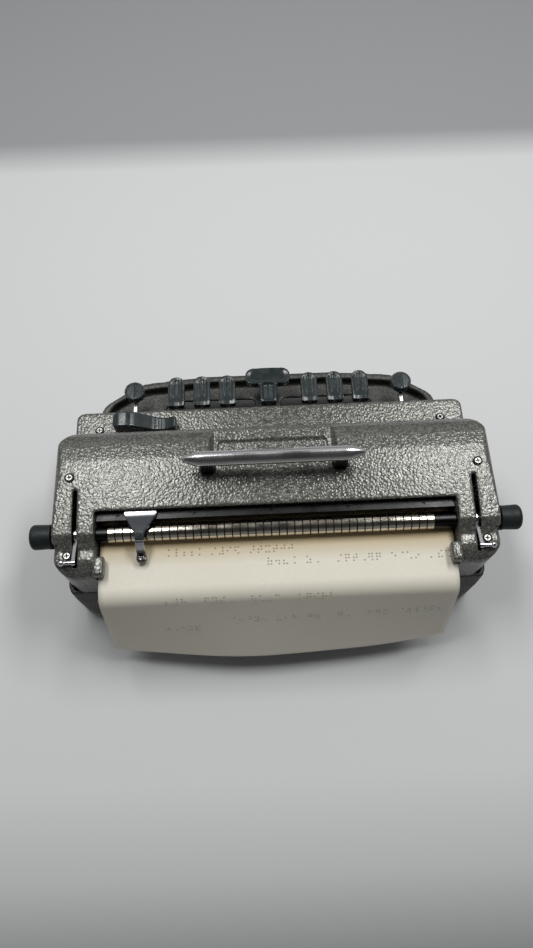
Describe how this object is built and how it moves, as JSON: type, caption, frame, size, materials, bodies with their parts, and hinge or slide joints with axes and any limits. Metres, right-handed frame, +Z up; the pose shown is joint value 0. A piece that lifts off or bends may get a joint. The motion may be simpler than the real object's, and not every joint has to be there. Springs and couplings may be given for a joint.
{
  "type": "manual braille writer",
  "caption": "Manual braille writer: keys lift bars under a travelling carriage that embosses a sheet held on a drum by a ringed feed roller, in a hammertone case with a lift-up handle.",
  "frame": {"origin": "on the surface the machine stands on, below the middle of its overall box", "axes": "+X to the writer's right along the feed roller, +Y to the back of the machine, +Z up"},
  "size_m": [0.401, 0.279, 0.157],
  "materials": {
    "enamel": "grey hammertone stoved enamel on cast aluminium",
    "plastic": "dark green-grey moulded plastic, glossy, worn",
    "steel": "turned and ground steel",
    "dark_steel": "blackened steel",
    "chrome": "polished chrome plate",
    "brass": "plain brass",
    "rubber": "black rubber",
    "cord": "waxed draw cord",
    "paper": "heavy cream paper"
  },
  "bodies": {
    "machine": {"base_casting": "enamel", "top_cover": "enamel", "front_panel": "enamel", "rubber_feet": "rubber", "cover_screws": "steel", "base_screws": "steel", "end_frames": "dark_steel", "guide_bar": "dark_steel", "carriage_rails": "steel", "escapement_rack": "steel", "key_shaft": "steel", "key_springs": "dark_steel", "bell": "brass", "carriage_cord": "cord", "paper_sheet": "paper"},
    "handle": {"carrying_handle": "chrome"},
    "space": {"space_key": "plastic", "space_lever": "steel"},
    "backspace": {"backspace_key": "plastic", "backspace_lever": "steel"},
    "line_space": {"line_key": "plastic", "line_lever": "steel"},
    "carriage": {"carriage_frame": "dark_steel", "embossing_finger": "dark_steel"},
    "carriage_grip": {"carriage_lever": "plastic"},
    "mainspring": {"spring_drum": "brass"},
    "feed": {"feed_roller": "steel", "feed_knobs": "plastic"},
    "drum": {"paper_drum": "dark_steel", "ratchet_wheel": "steel"},
    "pressure": {"pressure_roller": "rubber"},
    "release_left": {"release_lever_left": "chrome"},
    "release_right": {"release_lever_right": "chrome"},
    "stop_left": {"margin_stop_left": "steel"},
    "stop_right": {"margin_stop_right": "steel"},
    "hammer": {"bell_hammer": "steel"},
    "dot_1": {"key_1": "plastic", "lever_1": "steel"},
    "bar_1": {"dot_bar_1": "steel"},
    "embosser_1": {"pin_1": "steel"},
    "dot_2": {"key_2": "plastic", "lever_2": "steel"},
    "bar_2": {"dot_bar_2": "steel"},
    "embosser_2": {"pin_2": "steel"},
    "dot_3": {"key_3": "plastic", "lever_3": "steel"},
    "bar_3": {"dot_bar_3": "steel"},
    "embosser_3": {"pin_3": "steel"},
    "dot_4": {"key_4": "plastic", "lever_4": "steel"},
    "bar_4": {"dot_bar_4": "steel"},
    "embosser_4": {"pin_4": "steel"},
    "dot_5": {"key_5": "plastic", "lever_5": "steel"},
    "bar_5": {"dot_bar_5": "steel"},
    "embosser_5": {"pin_5": "steel"},
    "dot_6": {"key_6": "plastic", "lever_6": "steel"},
    "bar_6": {"dot_bar_6": "steel"},
    "embosser_6": {"pin_6": "steel"}
  },
  "joints": [
    {"name": "key_1_press", "type": "hinge", "parent": "machine", "child": "dot_1", "pos_m": [-0.04, 0.02, 0.033], "axis": [1, 0, 0], "range_deg": [0, 3.2], "stiffness_Nm_per_rad": 0.5, "springref_deg": -11.46},
    {"name": "bar_1_lift", "type": "slide", "parent": "machine", "child": "bar_1", "axis": [0, 0, 1], "range_m": [0, 0.00314]},
    {"name": "pin_1_lift", "type": "slide", "parent": "carriage", "child": "embosser_1", "axis": [0, 0, 1], "range_m": [0, 0.00314]},
    {"name": "key_2_press", "type": "hinge", "parent": "machine", "child": "dot_2", "pos_m": [-0.0648, 0.02, 0.033], "axis": [1, 0, 0], "range_deg": [0, 3.2], "stiffness_Nm_per_rad": 0.5, "springref_deg": -11.46},
    {"name": "bar_2_lift", "type": "slide", "parent": "machine", "child": "bar_2", "axis": [0, 0, 1], "range_m": [0, 0.003]},
    {"name": "pin_2_lift", "type": "slide", "parent": "carriage", "child": "embosser_2", "axis": [0, 0, 1], "range_m": [0, 0.003]},
    {"name": "key_3_press", "type": "hinge", "parent": "machine", "child": "dot_3", "pos_m": [-0.0896, 0.02, 0.033], "axis": [1, 0, 0], "range_deg": [0, 3.2], "stiffness_Nm_per_rad": 0.5, "springref_deg": -11.46},
    {"name": "bar_3_lift", "type": "slide", "parent": "machine", "child": "bar_3", "axis": [0, 0, 1], "range_m": [0, 0.00286]},
    {"name": "pin_3_lift", "type": "slide", "parent": "carriage", "child": "embosser_3", "axis": [0, 0, 1], "range_m": [0, 0.00286]},
    {"name": "key_4_press", "type": "hinge", "parent": "machine", "child": "dot_4", "pos_m": [0.04, 0.02, 0.033], "axis": [1, 0, 0], "range_deg": [0, 3.2], "stiffness_Nm_per_rad": 0.5, "springref_deg": -11.46},
    {"name": "bar_4_lift", "type": "slide", "parent": "machine", "child": "bar_4", "axis": [0, 0, 1], "range_m": [0, 0.00307]},
    {"name": "pin_4_lift", "type": "slide", "parent": "carriage", "child": "embosser_4", "axis": [0, 0, 1], "range_m": [0, 0.00307]},
    {"name": "key_5_press", "type": "hinge", "parent": "machine", "child": "dot_5", "pos_m": [0.0648, 0.02, 0.033], "axis": [1, 0, 0], "range_deg": [0, 3.2], "stiffness_Nm_per_rad": 0.5, "springref_deg": -11.46},
    {"name": "bar_5_lift", "type": "slide", "parent": "machine", "child": "bar_5", "axis": [0, 0, 1], "range_m": [0, 0.00293]},
    {"name": "pin_5_lift", "type": "slide", "parent": "carriage", "child": "embosser_5", "axis": [0, 0, 1], "range_m": [0, 0.00293]},
    {"name": "key_6_press", "type": "hinge", "parent": "machine", "child": "dot_6", "pos_m": [0.0896, 0.02, 0.033], "axis": [1, 0, 0], "range_deg": [0, 3.2], "stiffness_Nm_per_rad": 0.5, "springref_deg": -11.46},
    {"name": "bar_6_lift", "type": "slide", "parent": "machine", "child": "bar_6", "axis": [0, 0, 1], "range_m": [0, 0.00279]},
    {"name": "pin_6_lift", "type": "slide", "parent": "carriage", "child": "embosser_6", "axis": [0, 0, 1], "range_m": [0, 0.00279]},
    {"name": "space_press", "type": "hinge", "parent": "machine", "child": "space", "pos_m": [0, 0.02, 0.033], "axis": [1, 0, 0], "range_deg": [0, 3.2], "stiffness_Nm_per_rad": 0.5, "springref_deg": -11.46},
    {"name": "backspace_press", "type": "hinge", "parent": "machine", "child": "backspace", "pos_m": [0.13, 0.02, 0.033], "axis": [1, 0, 0], "range_deg": [0, 3.2], "stiffness_Nm_per_rad": 0.5, "springref_deg": -11.46},
    {"name": "line_space_press", "type": "hinge", "parent": "machine", "child": "line_space", "pos_m": [-0.13, 0.02, 0.033], "axis": [1, 0, 0], "range_deg": [0, 3.2], "stiffness_Nm_per_rad": 0.5, "springref_deg": -11.46},
    {"name": "carriage_travel", "type": "slide", "parent": "machine", "child": "carriage", "axis": [1, 0, 0], "range_m": [-0.24, 0.022], "deforming": ["carriage_cord"]},
    {"name": "carriage_grip_squeeze", "type": "hinge", "parent": "carriage", "child": "carriage_grip", "pos_m": [0.1106, -0.0375, 0.08], "axis": [0, 0, 1], "range_deg": [0, 4], "stiffness_Nm_per_rad": 0.2, "springref_deg": -17.19},
    {"name": "mainspring_turn", "type": "hinge", "parent": "machine", "child": "mainspring", "pos_m": [0.1657, -0.026, 0.0609], "axis": [0, 1, 0], "range_deg": [-1363, 126]},
    {"name": "feed_turn", "type": "hinge", "parent": "machine", "child": "feed", "pos_m": [0, 0.0505, 0.112], "axis": [1, 0, 0], "continuous": true},
    {"name": "drum_turn", "type": "hinge", "parent": "machine", "child": "drum", "pos_m": [0, 0.0505, 0.0872], "axis": [1, 0, 0], "continuous": true},
    {"name": "release_left_swing", "type": "hinge", "parent": "machine", "child": "release_left", "pos_m": [-0.1633, 0.0505, 0.112], "axis": [1, 0, 0], "range_deg": [0, 120]},
    {"name": "release_right_swing", "type": "hinge", "parent": "machine", "child": "release_right", "pos_m": [0.1633, 0.0505, 0.112], "axis": [1, 0, 0], "range_deg": [0, 120]},
    {"name": "pressure_drop", "type": "slide", "parent": "machine", "child": "pressure", "axis": [0, -1, 0], "range_m": [0, 0.0015]},
    {"name": "handle_lower", "type": "slide", "parent": "machine", "child": "handle", "axis": [0, 0, 1], "range_m": [-0.015, 0]},
    {"name": "stop_left_slide", "type": "slide", "parent": "machine", "child": "stop_left", "axis": [1, 0, 0], "range_m": [-0.012, 0.09]},
    {"name": "stop_right_slide", "type": "slide", "parent": "machine", "child": "stop_right", "axis": [1, 0, 0], "range_m": [-0.09, 0.012]},
    {"name": "hammer_swing", "type": "hinge", "parent": "machine", "child": "hammer", "pos_m": [0.16, 0.03, 0.034], "axis": [1, 0, 0], "range_deg": [-12, 0], "stiffness_Nm_per_rad": 0.02, "springref_deg": 17.19}
  ],
  "couplings": [
    {"joint": "bar_1_lift", "follows": "key_1_press", "m_per_rad": 0.054425},
    {"joint": "pin_1_lift", "follows": "key_1_press", "m_per_rad": 0.054425},
    {"joint": "bar_2_lift", "follows": "key_2_press", "m_per_rad": 0.051925},
    {"joint": "pin_2_lift", "follows": "key_2_press", "m_per_rad": 0.051925},
    {"joint": "bar_3_lift", "follows": "key_3_press", "m_per_rad": 0.049425},
    {"joint": "pin_3_lift", "follows": "key_3_press", "m_per_rad": 0.049425},
    {"joint": "bar_4_lift", "follows": "key_4_press", "m_per_rad": 0.053175},
    {"joint": "pin_4_lift", "follows": "key_4_press", "m_per_rad": 0.053175},
    {"joint": "bar_5_lift", "follows": "key_5_press", "m_per_rad": 0.050675},
    {"joint": "pin_5_lift", "follows": "key_5_press", "m_per_rad": 0.050675},
    {"joint": "bar_6_lift", "follows": "key_6_press", "m_per_rad": 0.048175},
    {"joint": "pin_6_lift", "follows": "key_6_press", "m_per_rad": 0.048175},
    {"joint": "mainspring_turn", "follows": "carriage_travel", "rad_per_m": 99.01},
    {"joint": "drum_turn", "follows": "feed_turn", "ratio": -0.5},
    {"joint": "release_left_swing", "follows": "pressure_drop", "rad_per_m": 1396}
  ]
}
